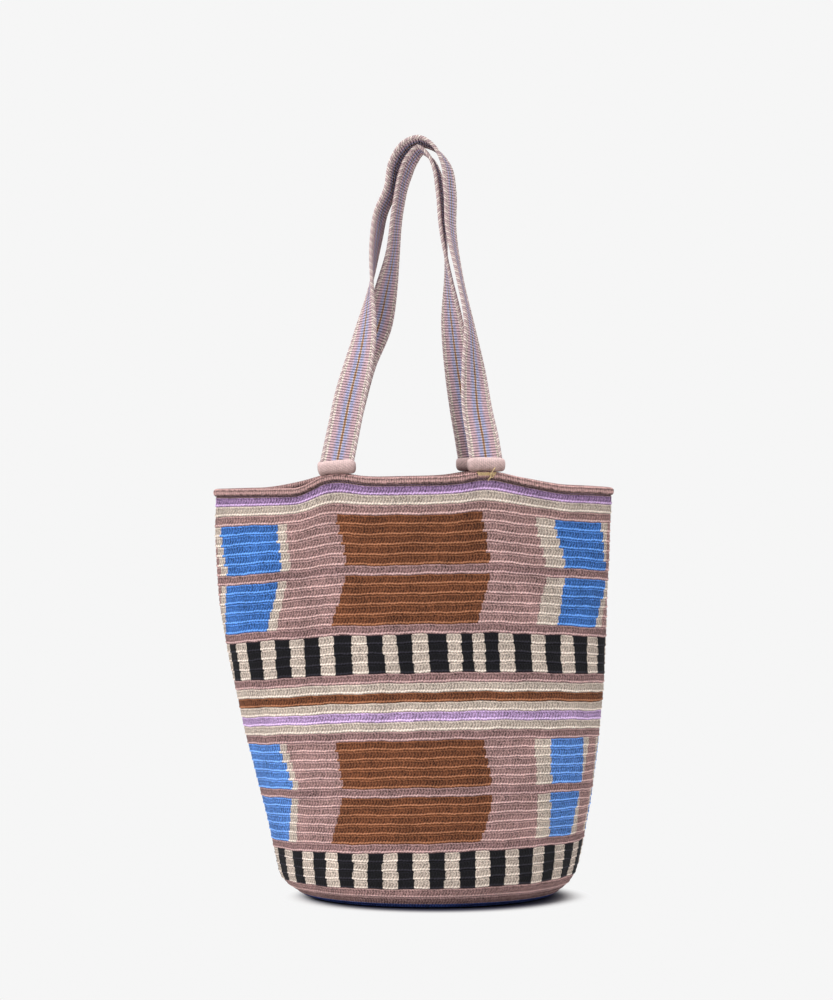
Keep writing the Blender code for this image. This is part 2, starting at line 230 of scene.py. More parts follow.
# Yarns, linear RGB
YARN_COLOURS = {
    "pink": (0.60, 0.365, 0.345),
    "mauve": (0.51, 0.305, 0.295),
    "brown": (0.295, 0.104, 0.046),
    "blue": (0.098, 0.296, 0.84),
    "cream": (0.905, 0.755, 0.645),
    "black": (0.009, 0.008, 0.012),
    "lilac": (0.77, 0.52, 0.88),
    # lilac of the top row, darkened as painted shade under the mouth's cord
    "shaded_lilac": (0.60, 0.38, 0.68),
    "sky": (0.165, 0.39, 0.98),
    # the underside's navy yarn, darkened as painted shade near the floor
    "shaded_navy": (0.038, 0.079, 0.32),
    # dark pink of the top ring: painted shade under the mouth's cord
    "shaded_pink": (0.36, 0.23, 0.22),
}
YARN_ORDER = tuple(YARN_COLOURS)


def block(blue, *edges):
    """A chart of a block. An edge is the stitch at which the next yarn starts in the block's outer
    row, and how far it moves on with each row towards the dividing row."""
    yarns = ("cream", blue, "cream", "pink", "brown", "pink", "cream", blue, "cream", "pink")
    return tuple((yarn, *edge) for yarn, edge in zip(yarns, edges))


# Blocks of colour over half the round
BLOCK_A = block(
    "blue",
    (-70.0, 0.6), (-67.0, 0.6), (-45.5, 0.3), (-42.2, 0.3), (-25.2, 0.8),
    (22.8, 0.6), (40.8, 0.9), (47.5, 0.9), (65.0, 0.7), (68.0, 0.0),
)
BLOCK_B = block(
    "blue",
    (-70.5, 0.6), (-67.8, 0.6), (-49.8, 1.1), (-46.2, 1.0), (-26.8, 1.1),
    (21.5, 0.9), (41.0, 0.9), (48.8, 0.6), (64.0, 1.0), (66.8, 0.8),
)
BLOCK_C = block(
    "sky",
    (-75.0, 0.0), (-72.0, 0.0), (-49.8, 0.8), (-47.0, 0.7), (-29.2, 0.4),
    (19.5, 0.4), (37.0, 0.0), (42.4, 0.0), (56.8, -0.2), (59.5, -0.8),
)
BLOCK_D = block(
    "sky",
    (-77.5, 0.3), (-74.5, 0.3), (-51.2, 0.8), (-46.8, 0.5), (-32.0, 0.9),
    (17.5, 0.9), (36.5, 0.1), (42.2, -0.1), (52.5, 0.5), (55.5, -0.2),
)

# Checks of the two bands, from the first black one on, in stitches
UPPER_CHECKS = (
    4.0, 4.8, 5.3, 5.3, 5.3, 5.0, 5.4, 4.9, 5.7, 5.3, 5.3, 4.6, 4.8, 5.4,
    5.8, 4.8, 3.9, 3.8, 4.8, 5.1, 5.7, 5.2, 5.9, 5.0, 5.6, 4.9, 4.4, 4.0,
)
LOWER_CHECKS = (5.0,) * len(UPPER_CHECKS)


def checks(start, widths):
    """A chart of checks in two yarns, black first."""
    starts = start + np.concatenate(([0.0], np.cumsum(widths[:-1])))
    return tuple((("black", "cream")[k % 2], at, 0.0) for k, at in enumerate(starts))


def plain(count, *yarns):
    """Rounds of one yarn each, so many rows high."""
    return tuple((count, ((yarn, 0.0, 0.0),), 1) for yarn in yarns)


# Rounds from the foot to the mouth: rows, chart, and 1 where the block's outer row is the lowest
ROUND_PLAN = (
    *plain(2, "pink"),
    (4, checks(-70.0, LOWER_CHECKS), 1),
    *plain(1, "mauve"),
    (5, BLOCK_D, 1),
    *plain(1, "mauve"),
    (5, BLOCK_C, -1),
    *plain(1, "mauve", "cream", "lilac", "cream", "brown", "cream", "mauve"),
    (4, checks(-67.0, UPPER_CHECKS), 1),
    *plain(1, "mauve"),
    (5, BLOCK_B, 1),
    *plain(1, "mauve"),
    (5, BLOCK_A, -1),
    # the top row's darker lilac is painted shade under the mouth's cord
    *plain(1, "pink", "cream", "shaded_lilac"),
)

# Corded edge, handles and cuffs: how finely they are modelled
EDGE_STITCHES = 350
EDGE_COLUMNS = 5  # to a stitch
EDGE_SIDES = 12
EDGE_SWELL = 0.00035
EDGE_FILL = 0.0002  # how much fuller the cord is where it lies on the wall
EDGE_FILL_RISE = (0.5, 0.95)  # how far down its side that begins and ends
EDGE_SLANT = 0.4  # stitches by which a stroke leans on its way round the cord
EDGE_UNEVEN = 0.25
EDGE_OVAL_ANGLE = 0.9  # radians up from its outer side, where the cord is fullest
RIB_PITCH = 0.0022
RIB_STATIONS = 4
RIB_SWELL = 0.00028
RIB_POWER = 0.8
BAND_COLUMNS = 12
BAND_LAP = 0.0006  # how far the band reaches into its edge cords
CORD_TURN = 0.0057  # length in which an edge cord's three strands turn once
CORD_STATIONS = 12
CORD_SIDES = 9
CORD_VALLEY = 0.16  # depth of the valleys between its strands, as a share of its radius
WRAP_PITCH = 0.0011
WRAP_RINGS = 4
WRAP_SWELL = 0.00016
CUFF_SIDES = 32
CUFF_SEAT = 0.00025  # between a cuff and the cord under it
CUFF_END_ANGLE = 86.0  # the last ring of a roll, in degrees from its middle
CUFF_SQUARENESS = 0.75
CUFF_PROBES = 9  # places along a roll at which it is fitted to the cord under it

# Round the mouth's cord, from its outer side over the top: place, brightness (painted light on top,
# painted shade underneath), swing of the strokes' painted light and shade, height
EDGE_PROFILE = (
    (0.00, 0.92, 0.22, 0.8),
    (0.04, 0.46, 0.16, 0.3),
    (0.08, 0.34, 0.12, 0.2),
    (0.12, 0.92, 0.24, 0.8),
    (0.16, 1.34, 0.26, 1.0),
    (0.21, 1.00, 0.24, 0.9),
    (0.27, 0.50, 0.18, 0.4),
    (0.38, 0.84, 0.24, 0.8),
    (0.50, 0.60, 0.20, 0.6),
    (0.80, 0.22, 0.10, 0.3),
    (0.88, 0.26, 0.10, 0.3),
    (0.95, 1.02, 0.24, 0.9),
    (1.00, 0.92, 0.22, 0.8),
)

# Grains of the threads: spots to a metre, and steps of finer detail in them
# The first grain is that of random patches of painted shade, which stand for soft folds
FOLD_SHADE_GRAIN = (45.0, 2.0)
HEATHER = (420.0, 2.0)
FIBRES = (1250.0, 3.0)
STRIPE_EDGES = (160.0, 2.0)
BAND_HEATHER = (500.0, 3.0)
BAND_FIBRES = (2000.0, 3.0)
CORD_FIBRES = (1800.0, 3.0)
SATIN_STREAKS = (300.0, 3.0)
SATIN_FIBRES = (1500.0, 3.0)

# Crochet's painted light and shade: the level that they lie about, their contrast on a black yarn
# and what a white one loses of it, and how deep the colour is painted in a groove and how pale on a
# ridge
SHADE_LEVEL = 0.64
CONTRAST = 1.10
CONTRAST_LOSS = 0.45
PAINTED_GROOVE_DEPTH = 1.16
PAINTED_RIDGE_PALENESS = 0.25
PATCH_SHADE = (0.62, 0.76)  # least brightness of a patch, and what the palest one adds: random painted shade of soft folds
DARKEST = 0.05

# Where its strokes lie: the place in the row where they turn back, the share of the finer strokes
# between them, and how far grooves, strokes and the edge's cord stray, in rows or stitches
STROKE_TURN = 0.62
FINER_STROKES = 0.6
GROOVE_STRAY = 0.16
GROOVE_SCALLOP = 0.02
STROKE_STRAY = 0.8
EDGE_STRAY = 0.10
EDGE_STROKE_STRAY = 0.9

# Threads of the handles and cuffs, in painted light and shade: brightness in the painted shade of
# the valleys between them, what a ridge adds as painted light, and how much the grain changes it
BAND_SHADE = (0.12, 1.04, 0.9)
CORD_SHADE = (0.38, 0.68, 1.2)
SATIN_SHADE = (0.84, 0.18, 0.8)
# hatch that shows on the painted shade of a cuff's underside
HATCH_SHADE = 0.20
RIB_FULLNESS = 0.9
STRIPE_STRAY = 0.8  # mm
BAND_THREADS = 30.0  # across a band
SATIN_HATCHES = 20.0  # round a roll

# Heights of the fine relief
CROCHET_BUMP = 0.0003
BAND_BUMP = 0.00025
CORD_BUMP = 0.0002
SATIN_BUMP = 0.00012

# Colours of the handles and the thread, linear RGB
CORD_COLOURS = ((0.74, 0.56, 0.54), (0.56, 0.40, 0.41), (0.88, 0.74, 0.69))
CUFF_PINK = (0.92, 0.68, 0.66)
# painted shade of the cuffs' undersides, a darker copy of their pink
CUFF_PAINTED_SHADE = (0.32, 0.20, 0.18)
TIE_BEIGE = (0.85, 0.62, 0.32)

# Thread tie: each strand's first and last x and its turn up the cord in radians, then its knot and
# its ends as x and how far they stand out from and above the cord's middle
TIE_RADIUS = 0.00042
TIE_SIDES = 7
TIE_STATIONS = 30
TIE_STEP = 0.0004
TIE_PATTERN = 3.0  # stations to one unit of the thread's pattern
TIE_ASLANT = (0.31, 0.17, 0.93)  # a direction that no stretch of the thread follows
TIE_CLIMB = 0.25  # radians by which a strand climbs round the cord from end to end
TIE_TUCK = 0.12  # share of a strand's length that is tucked in beyond each end
TIE_TUCK_TURN = 1.1
TIE_STAND_OFF = 0.6  # share of its radius by which a strand's middle stands off the cord
TIE_STRANDS = (
    (0.0398, 0.0522, -0.05),
    (0.0402, 0.0524, 0.22),
    (0.0405, 0.0520, 0.50),
)
TIE_KNOT = (
    (0.0490, -0.0036, -0.0022),
    (0.0496, -0.0048, 0.0000),
    (0.0506, -0.0050, 0.0014),
    (0.0516, -0.0044, 0.0004),
    (0.0510, -0.0036, -0.0014),
    (0.0498, -0.0042, -0.0010),
    (0.0492, -0.0052, 0.0010),
    (0.0502, -0.0056, 0.0022),
)
TIE_ENDS = (
    ((0.0496, -0.0044, 0.0004), (0.0506, -0.0060, 0.0030), (0.0530, -0.0068, 0.0068)),
    ((0.0496, -0.0044, -0.0010), (0.0482, -0.0050, -0.0026), (0.0472, -0.0046, -0.0044)),
)

# Across half a handle, from its middle out: where each stripe begins in mm, and its colour
BAND_STRIPES = (
    (0.0, (0.42, 0.20, 0.10)),
    (0.7, (0.74, 0.60, 0.52)),
    (1.2, (0.48, 0.47, 0.70)),
    (4.0, (0.64, 0.48, 0.61)),
    (5.4, (0.72, 0.48, 0.53)),
    (9.0, (0.92, 0.78, 0.70)),
)

# Camera and light
CAMERA_PLACE = (-0.0097, -2.3, 0.319)
CAMERA_LENS = 102.1
BACKDROP = 0.921
FLOOR_WHITE = 0.80
SKY_LEVEL = 0.34
FLOOR_SIZE = 60.0

# Oval on the floor round the foot, and the shares of it between which the painted shadow under the
# foot ends and the floor runs into the background
SHADE_MIDDLE = (0.007, -0.018)
SHADE_HALF_WIDTH = 0.098
SHADE_HALF_DEPTH = 0.081
SHADE_EDGE = (0.90, 1.22)
# colour of the painted shadow under the foot
PAINTED_FLOOR_SHADOW = (0.07, 0.07, 0.10)
FLOOR_EDGE = (1.00, 1.27)

# Suns: azimuth round from the front, elevation, strength and spread, angles in degrees
SUNS = {
    "key_light": (-50.0, 42.0, 2.2, 30.0),
    "top_light": (0.0, 80.0, 0.75, 60.0),
    "side_light": (100.0, 30.0, 0.8, 40.0),
}

# Sockets of a Mix node that mixes colours
MIX_SHARE, MIX_FIRST, MIX_SECOND, MIX_RESULT = 0, 6, 7, 2


def smoothstep(low, high, value):
    t = np.clip((value - low) / (high - low), 0.0, 1.0)
    return t * t * (3.0 - 2.0 * t)


def unit(vectors):
    return vectors / np.linalg.norm(vectors, axis=-1, keepdims=True)


def row_height(row):
    growth = (ROW_PITCH_MOUTH - ROW_PITCH_FOOT) / (2.0 * ROWS)
    return FIRST_ROW_HEIGHT + ROW_PITCH_FOOT * row + growth * row * row


WALL_HEIGHT = row_height(ROWS)


def half_width(height):
    share = np.sin(0.5 * np.pi * np.clip(height / WALL_HEIGHT, 0.0, 1.0)) ** WIDENING_POWER
    return FOOT_HALF_WIDTH + (MOUTH_HALF_WIDTH - FOOT_HALF_WIDTH) * share


def point_power(height):
    return 1.0 + (MOUTH_POINT - 1.0) * smoothstep(*POINT_RISE, height / WALL_HEIGHT)


def outline(half_x, half_y, power):
    """A closed outline from the front middle round by +X, as an ellipse drawn to two points."""
    angle = np.linspace(-0.5 * np.pi, 1.5 * np.pi, OUTLINE_SAMPLES + 1)
    sine = np.sin(angle)
    return half_x * np.cos(angle), half_y * np.sign(sine) * np.abs(sine) ** power


def girth(half_x, half_y, power):
    x, y = outline(half_x, half_y, power)
    return np.hypot(np.diff(x), np.diff(y)).sum()


def half_depth(height):
    """The half depth that gives the row its girth at this height's width."""
    half_x, power = half_width(height), point_power(height)
    row_girth = max(GIRTH, half_x / FLATTEST)
    low, high = 0.0, row_girth
    for _ in range(40):
        middle = 0.5 * (low + high)
        if girth(half_x, middle, power) > row_girth:
            high = middle
        else:
            low = middle
    return 0.5 * (low + high)


def side_inset(height, depth):
    """How far a face at this depth in the wall lies inside the row's outline."""
    below = FOOT_ROUNDING - height
    if below <= 0.0:
        return depth
    reach = max((FOOT_ROUNDING - depth) ** 2 - below**2, 0.0)
    return FOOT_ROUNDING - np.sqrt(reach)


def fold_push(x, row, side):
    push = 0.0
    for fold_x, fold_row, depth, spread, reach, fold_side in FOLDS:
        near = np.exp(-(((x - fold_x) / spread) ** 2) - ((row - fold_row) / reach) ** 2)
        push = push + depth * near * (side == fold_side)
    return push


def root_lift(x, side):
    lift = 0.0
    for root_side, roots in ((-1, FRONT_ROOTS), (1, BACK_ROOTS)):
        for root in roots:
            near = np.exp(-(((x - root) / STRAP_LIFT_SPREAD) ** 2))
            lift = lift + STRAP_LIFT * near * (side == root_side)
    return lift


def wall_ring(row, depth, shares, height=None):
    """Points of the wall at a row, at a depth below its outer face, at shares of the girth."""
    height = row_height(row) if height is None else height
    half_x, half_y, power = half_width(height), half_depth(height), point_power(height)
    inset = side_inset(height, depth)
    x, y = outline(half_x, half_y, power)
    along = np.concatenate(([0.0], np.cumsum(np.hypot(np.diff(x), np.diff(y)))))
    at = np.asarray(shares) * along[-1]
    x, y = np.interp(at, along, x), np.interp(at, along, y)
    across, in_out = x / half_x, y / half_y
    tip_inset = inset + depth * height / WALL_HEIGHT
    x = x * (half_x - tip_inset) / half_x
    y = y * (half_y - inset) / half_y
    side = np.where(in_out < 0.0, -1, 1)
    x = x + MOUTH_LEAN * smoothstep(*LEAN_RISE, height / WALL_HEIGHT)

    up = np.clip(row / ROWS, 0.0, 1.0)
    near_mouth = np.exp((row - ROWS) / MOUTH_REACH)
    arch = np.abs(across) ** ARCH_POWER
    shelf = np.where((across < 0.0) & (side < 0), FRONT_LEFT_SHELF, SHELF)
    plateau = SHELF_SHARE * smoothstep(SHELF_START, shelf, np.abs(across))
    plateau = plateau + (1.0 - SHELF_SHARE) * across**2
    droop = CORNER_DROOP * up**DROOP_POWER * (arch + (plateau - arch) * near_mouth)
    dip = MOUTH_DIP * near_mouth * (1.0 - plateau)
    sag = ROW_SAG * np.sin(np.pi * up) ** SAG_POWER * (across**2 - SAG_LEVEL)
    calm = 1.0 - TILT_CALM * near_mouth * across**2
    tilt = ROW_TILT * across * smoothstep(*TILT_RISE, up) * calm
    rise = BACK_RISE * near_mouth * np.sqrt(np.clip(in_out, 0.0, 1.0))
    z = height - droop - dip - sag + tilt + rise + root_lift(x, side) * near_mouth
    y = y - side * fold_push(x, row, side) * np.abs(in_out)
    return np.stack((x, y, z), axis=1)


def even_shares(count):
    return np.arange(count) / count


def normals_of(grid):
    """Outward normals of a grid of rings that are closed round the bag and go up row by row."""
    along = np.roll(grid, -1, axis=1) - np.roll(grid, 1, axis=1)
    return unit(np.cross(along, np.gradient(grid, axis=0)))


# Mesh helpers


def grid_quads(rings, columns, first=0):
    """Quads between neighbouring closed rings of a grid whose first point has this number."""
    ring, column = np.indices((rings - 1, columns))
    nxt = (column + 1) % columns
    low, high = first + ring * columns, first + (ring + 1) * columns
    return np.stack((low + column, low + nxt, high + nxt, high + column), axis=2).reshape(-1, 4)


def bridge(low_first, low_count, high_first, high_count):
    """Faces from a ring of fewer points to one with a whole number of times more."""
    times = high_count // low_count
    faces = []
    for k in range(low_count):
        nxt = (k + 1) % low_count
        high = [high_first + (k * times + j) % high_count for j in range(times, -1, -1)]
        faces.append([low_first + k, low_first + nxt, *high])
    return faces


def make_piece(name, vertices, faces, places, finish, node, colours=None):
    """A smooth-shaded piece that stands for a CAD node. Every face corner has its place on the
    pattern and, where there are yarns, its colour."""
    mesh = bpy.data.meshes.new(name)
    mesh.from_pydata(vertices.tolist(), [], faces)
    mesh.shade_smooth()
    mesh.materials.append(finish)
    layer = mesh.uv_layers.new(name="stitches")
    layer.uv.foreach_set("vector", places.astype(np.float32).ravel())
    if colours is not None:
        attribute = mesh.color_attributes.new("yarn", "FLOAT_COLOR", "CORNER")
        colours = np.hstack((colours, np.ones((len(colours), 1))))
        attribute.data.foreach_set("color", colours.astype(np.float32).ravel())
    piece = bpy.data.objects.new(name, mesh)
    bpy.context.collection.objects.link(piece)
    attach(piece, "root")
    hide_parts(node)
    return piece


def corner_points(faces):
    """The point at every face corner, in the order of the faces."""
    return np.array([corner for face in faces for corner in face])


# Shader expressions


class Value:
    """A shader socket that takes part in Python expressions."""

    def __init__(self, shading, socket):
        self.shading = shading
        self.socket = socket

    def math(self, operation, *others):
        return self.shading.node("ShaderNodeMath", {"operation": operation}, (self, *others))

    def __add__(self, other):
        return self.math("ADD", other)

    def __sub__(self, other):
        return self.math("SUBTRACT", other)

    def __rsub__(self, other):
        return self.math("MULTIPLY", -1.0).math("ADD", other)

    def __mul__(self, other):
        return self.math("MULTIPLY", other)

    def __pow__(self, other):
        return self.math("POWER", other)

    __radd__ = __add__
    __rmul__ = __mul__


class Shading:
    """The nodes of a material or a world."""

    def __init__(self, tree):
        self.nodes = tree.nodes
        self.links = tree.links

    def node(self, kind, settings=None, inputs=(), output=0):
        """Adds a node. Its inputs are values or links, in order or by name."""
        node = self.nodes.new(kind)
        for name, setting in (settings or {}).items():
            setattr(node, name, setting)
        pairs = inputs.items() if isinstance(inputs, dict) else enumerate(inputs)
        for key, value in pairs:
            self.feed(node.inputs[key], value)
        return Value(self, node.outputs[output])

    def feed(self, socket, value):
        if isinstance(value, Value):
            self.links.new(value.socket, socket)
        else:
            socket.default_value = value

    def seen_directly(self):
        """One for what the camera sees, also in a reflection or through glass, else nothing."""
        rays = ("Is Camera Ray", "Is Glossy Ray", "Is Transmission Ray")
        camera, glossy, through = (self.node("ShaderNodeLightPath", output=ray) for ray in rays)
        return camera.math("MAXIMUM", glossy).math("MAXIMUM", through)

    def show(self, output, lit, seen, share):
        """Sends a lit shader out, with another in its place for a share of what is seen."""
        mixed = self.node("ShaderNodeMixShader", None, (share, Value(self, lit.outputs[0]), seen))
        self.feed(self.nodes[output].inputs["Surface"], mixed)


class Finish(Shading):
    """A material in the making, with its Principled shader."""

    def __init__(self, name, roughness, sheen=0.15, specular=0.25):
        self.material = bpy.data.materials.new(name)
        self.material.use_nodes = True
        super().__init__(self.material.node_tree)
        self.shader = self.nodes["Principled BSDF"]
        self.shader.inputs["Roughness"].default_value = roughness
        self.shader.inputs["Specular IOR Level"].default_value = specular
        self.shader.inputs["Sheen Weight"].default_value = sheen
        self.shader.inputs["Sheen Roughness"].default_value = 0.6

    def pattern_place(self):
        """The surface's own pattern coordinates, across and along."""
        place = self.node("ShaderNodeUVMap", {"uv_map": "stitches"})
        return self.parts(place)[:2]

    def object_place(self):
        return self.node("ShaderNodeTexCoord", output="Object")

    def noise(self, grain):
        scale, detail = grain
        inputs = {"Vector": self.object_place(), "Scale": scale, "Detail": detail}
        return self.node("ShaderNodeTexNoise", None, inputs)

    def mix(self, share, first, second, blend="MIX"):
        """A mix of two colours."""
        settings = {"data_type": "RGBA", "blend_type": blend}
        inputs = {MIX_SHARE: share, MIX_FIRST: colour4(first), MIX_SECOND: colour4(second)}
        return self.node("ShaderNodeMix", settings, inputs, MIX_RESULT)

    def tint(self, colour, strength):
        """A colour times a number that changes over the surface."""
        level = self.node("ShaderNodeCombineXYZ", None, (strength, strength, strength))
        return self.mix(1.0, colour, level, "MULTIPLY")

    def ramp(self, place, stops, interpolation="LINEAR"):
        """A colour ramp with stops of a place and three numbers."""
        value = self.node("ShaderNodeValToRGB", None, (place,))
        ramp = value.socket.node.color_ramp
        ramp.interpolation = interpolation
        while len(ramp.elements) < len(stops):
            ramp.elements.new(1.0)
        for element, (at, *numbers) in zip(ramp.elements, stops):
            element.position = at
            element.color = (*numbers, 1.0)
        return value

    def parts(self, vector):
        """The three numbers of a vector or a colour."""
        first = self.node("ShaderNodeSeparateXYZ", None, (vector,))
        outputs = first.socket.node.outputs
        return first, Value(self, outputs[1]), Value(self, outputs[2])

    def bump(self, height, distance):
        """Sends a height in units of this distance to the shader's normal."""
        inputs = {"Height": height, "Distance": distance, "Strength": 1.0}
        self.feed(self.shader.inputs["Normal"], self.node("ShaderNodeBump", None, inputs))

    def colour(self, value):
        self.feed(self.shader.inputs["Base Color"], value)


def colour4(colour):
    return colour if isinstance(colour, Value) else (*colour, 1.0)


def grey(level):
    return (level, level, level)


def wave_of(place):
    """One wave to every unit of a place, from one down to minus one and back."""
    return (place * FULL_TURN).math("COSINE")


def ridge_of(place):
    """One ridge to every unit of a place, from nothing in the valleys to one on top."""
    return (place * math.pi).math("SINE").math("ABSOLUTE")


# Painted shade in the valleys between threads, painted light on their ridges, and an uneven grain
def thread_shade(shade, ridge, grain):
    valley, rise, unrest = shade
    return valley + rise * ridge + unrest * (grain - 0.5)


def yarn_finish(name):
    """Crochet cotton: a painted highlight on the ridge along the foot of each row, slanting stitches
    above it, painted shade in its grooves.

    The yarn's colour is painted paler on the ridges and deeper between them, and a pale yarn shows
    less of both, because light comes back out of its hollows.
    """
    finish = Finish(name, roughness=0.95, sheen=0.03)
    yarn = finish.node("ShaderNodeAttribute", {"attribute_name": "yarn"})
    across, along = finish.pattern_place()
    fuzz = finish.noise(FIBRES)
    unrest = finish.noise(HEATHER) - 0.5
    in_row = (along + GROOVE_STRAY * unrest + GROOVE_SCALLOP * wave_of(across)).math("FRACT")
    lean = (in_row - STROKE_TURN).math("ABSOLUTE") * STROKE_SLANT
    turn = (across + lean + STROKE_STRAY * unrest) * FULL_TURN
    stroke = turn.math("COSINE") + FINER_STROKES * (turn * 2.0 + 1.0).math("COSINE")
    # painted light and shade of the row's relief and of its strokes
    painted_brightness, contrast, height = finish.parts(finish.ramp(in_row, ROW_PROFILE))
    # random patches of painted shade, standing for soft folds
    painted_fold_shade = PATCH_SHADE[0] + PATCH_SHADE[1] * finish.noise(FOLD_SHADE_GRAIN)
    strength = painted_brightness * painted_fold_shade + contrast * stroke + 2.0 * (fuzz - 0.5) + 0.5 * unrest
    green = finish.parts(yarn)[1]
    strength = SHADE_LEVEL + (strength - SHADE_LEVEL) * (CONTRAST - CONTRAST_LOSS * green)
    # the colour itself painted deeper in the grooves and paler on the ridges
    depth = PAINTED_GROOVE_DEPTH - PAINTED_RIDGE_PALENESS * painted_brightness
    own = finish.node("ShaderNodeGamma", None, (yarn, depth))
    finish.colour(finish.tint(own, strength.math("MAXIMUM", DARKEST)))
    finish.bump(1.5 * height + 1.5 * contrast * stroke + 1.2 * fuzz, CROCHET_BUMP)
    return finish.material


def edge_finish(name):
    """Corded crochet: short strokes laid round the cord, with painted shade between them and under
    the cord, and painted light on its top.
    """
    finish = Finish(name, roughness=0.95, sheen=0.03)
    across, along = finish.pattern_place()
    unrest = finish.noise(HEATHER) - 0.5
    fuzz = finish.noise(FIBRES)
    stroke = wave_of(across + EDGE_STROKE_STRAY * unrest)
    painted_brightness, contrast, height = finish.parts(finish.ramp(along + EDGE_STRAY * unrest, EDGE_PROFILE))
    # painted light on top of the cord, painted shade under it and between the strokes
    strength = painted_brightness + contrast * stroke + 1.8 * (fuzz - 0.5) + 0.7 * unrest
    finish.colour(finish.tint(YARN_COLOURS["pink"], strength.math("MAXIMUM", DARKEST)))
    finish.bump(height * stroke + 0.9 * fuzz, CROCHET_BUMP)
    return finish.material


def band_finish(name):
    """Woven band: colour stripes along its length, crossed by ribs with painted light on them and
    painted shade in the lines between.
    """
    finish = Finish(name, roughness=0.85)
    across, along = finish.pattern_place()
    half = 0.5 * STRAP_WIDTH / MM
    stray = (STRIPE_STRAY / half) * (finish.noise(STRIPE_EDGES) - 0.5)
    spread = (across - 0.5).math("ABSOLUTE") * 2.0 + stray
    stripes = [(start / half, *colour) for start, colour in BAND_STRIPES]
    colour = finish.ramp(spread, stripes, "CONSTANT")
    rib = ridge_of(along)
    strength = thread_shade(BAND_SHADE, rib**RIB_FULLNESS, finish.noise(BAND_HEATHER))
    finish.colour(finish.tint(colour, strength))
    threads = (across * (FULL_TURN * BAND_THREADS)).math("SINE")
    finish.bump(0.5 * threads + finish.noise(BAND_FIBRES) + rib, BAND_BUMP)
    return finish.material


def cord_finish(name):
    """Edge cord of three strands in three shades, with painted shade in the valleys between them."""
    finish = Finish(name, roughness=0.85)
    across = finish.pattern_place()[0]
    shades = [(k / len(CORD_COLOURS), *colour) for k, colour in enumerate(CORD_COLOURS)]
    colour = finish.ramp(across.math("FRACT"), shades, "CONSTANT")
    fuzz = finish.noise(CORD_FIBRES)
    strand = ridge_of(across * float(len(CORD_COLOURS)))
    finish.colour(finish.tint(colour, thread_shade(CORD_SHADE, strand, fuzz)))
    finish.bump(fuzz, CORD_BUMP)
    return finish.material


def wrap_finish(name, colour, shade):
    """Satin thread laid side by side, with painted light on top of the roll, painted shade under it
    and between the threads.
    """
    finish = Finish(name, roughness=0.55)
    across, along = finish.pattern_place()
    upwards = (across * FULL_TURN).math("SINE")
    strand = ridge_of(along)
    streak = finish.noise(SATIN_STREAKS)
    fuzz = finish.noise(SATIN_FIBRES)
    hatch = ((across * SATIN_HATCHES + along * 0.45 + streak) * FULL_TURN).math("SINE")
    # painted shade: the roll turns to its shade colour towards its underside, where the hatch also
    # shows
    low = 0.5 - 0.5 * upwards + 0.5 * (streak - 0.5)
    base = finish.mix(low.math("MAXIMUM", 0.0).math("MINIMUM", 1.0), colour, shade)
    strength = thread_shade(SATIN_SHADE, strand, fuzz) + HATCH_SHADE * hatch * low
    finish.colour(finish.tint(base, strength))
    finish.bump(0.6 * fuzz + 0.4 * strand + 0.4 * hatch, SATIN_BUMP)
    return finish.material


# Crocheted wall


def swing(waves, round_share, row):
    """A sum of waves round the bag that turn from row to row."""
    turn = FULL_TURN * round_share
    return sum(
        size * np.sin(count * turn + lead * row + start) for size, count, lead, start in waves
    )


def chart_rows():
    """For every row from the foot up, its chart and how many rows it is from the block's edge."""
    rows = []
    for count, chart, upwards in ROUND_PLAN:
        rows += [(chart, k if upwards > 0 else count - 1 - k) for k in range(count)]
    return rows


CHART_ROWS = chart_rows()


def yarn_ring(row, per_stitch, shift, wobble):
    """Numbers of the yarns in one ring of a row, with its colour changes moved by whole columns."""
    chart, steps = CHART_ROWS[row]
    starts = np.array([round((start + lean * steps) * per_stitch) for _, start, lean in chart])
    numbers = np.array([YARN_ORDER.index(yarn) for yarn, _, _ in chart])
    columns = np.arange(STITCHES * per_stitch)
    place = (columns - starts[0] - shift) % (HALF_ROUND * per_stitch)
    ends = starts[1:] - starts[0] + wobble[: len(starts) - 1]
    return numbers[np.searchsorted(ends, place, side="right")]


def yarn_colours(rings, rows, per_stitch, seed):
    """Colours of every face of a band of rows, ring by ring."""
    rng = np.random.default_rng(seed)
    palette = np.array([YARN_COLOURS[name] for name in YARN_ORDER])
    fine = per_stitch > INNER_COLUMNS
    last = len(rings) - 1
    colours = []
    for row in rows:
        count = len(CHART_ROWS[row][0])
        checked = count == len(LOWER_CHECKS)
        wobble = rng.choice((-1, 0, 0, 0, 1), count) * fine
        pinch = np.where(np.arange(count) % 2, -1, 1) * fine
        for k in range(len(rings)):
            shift = 0 if checked or k > 1 else -2 * fine
            moved = wobble + pinch * (checked and k in (0, last))
            colours.append(palette[yarn_ring(row, per_stitch, shift, moved)])
            # painted shade: the foot's lowest rings and the top ring under the cord
            if (row, k) in EDGE_RINGS:
                colours[-1][:] = YARN_COLOURS[EDGE_RINGS[row, k]]
    return np.array(colours)


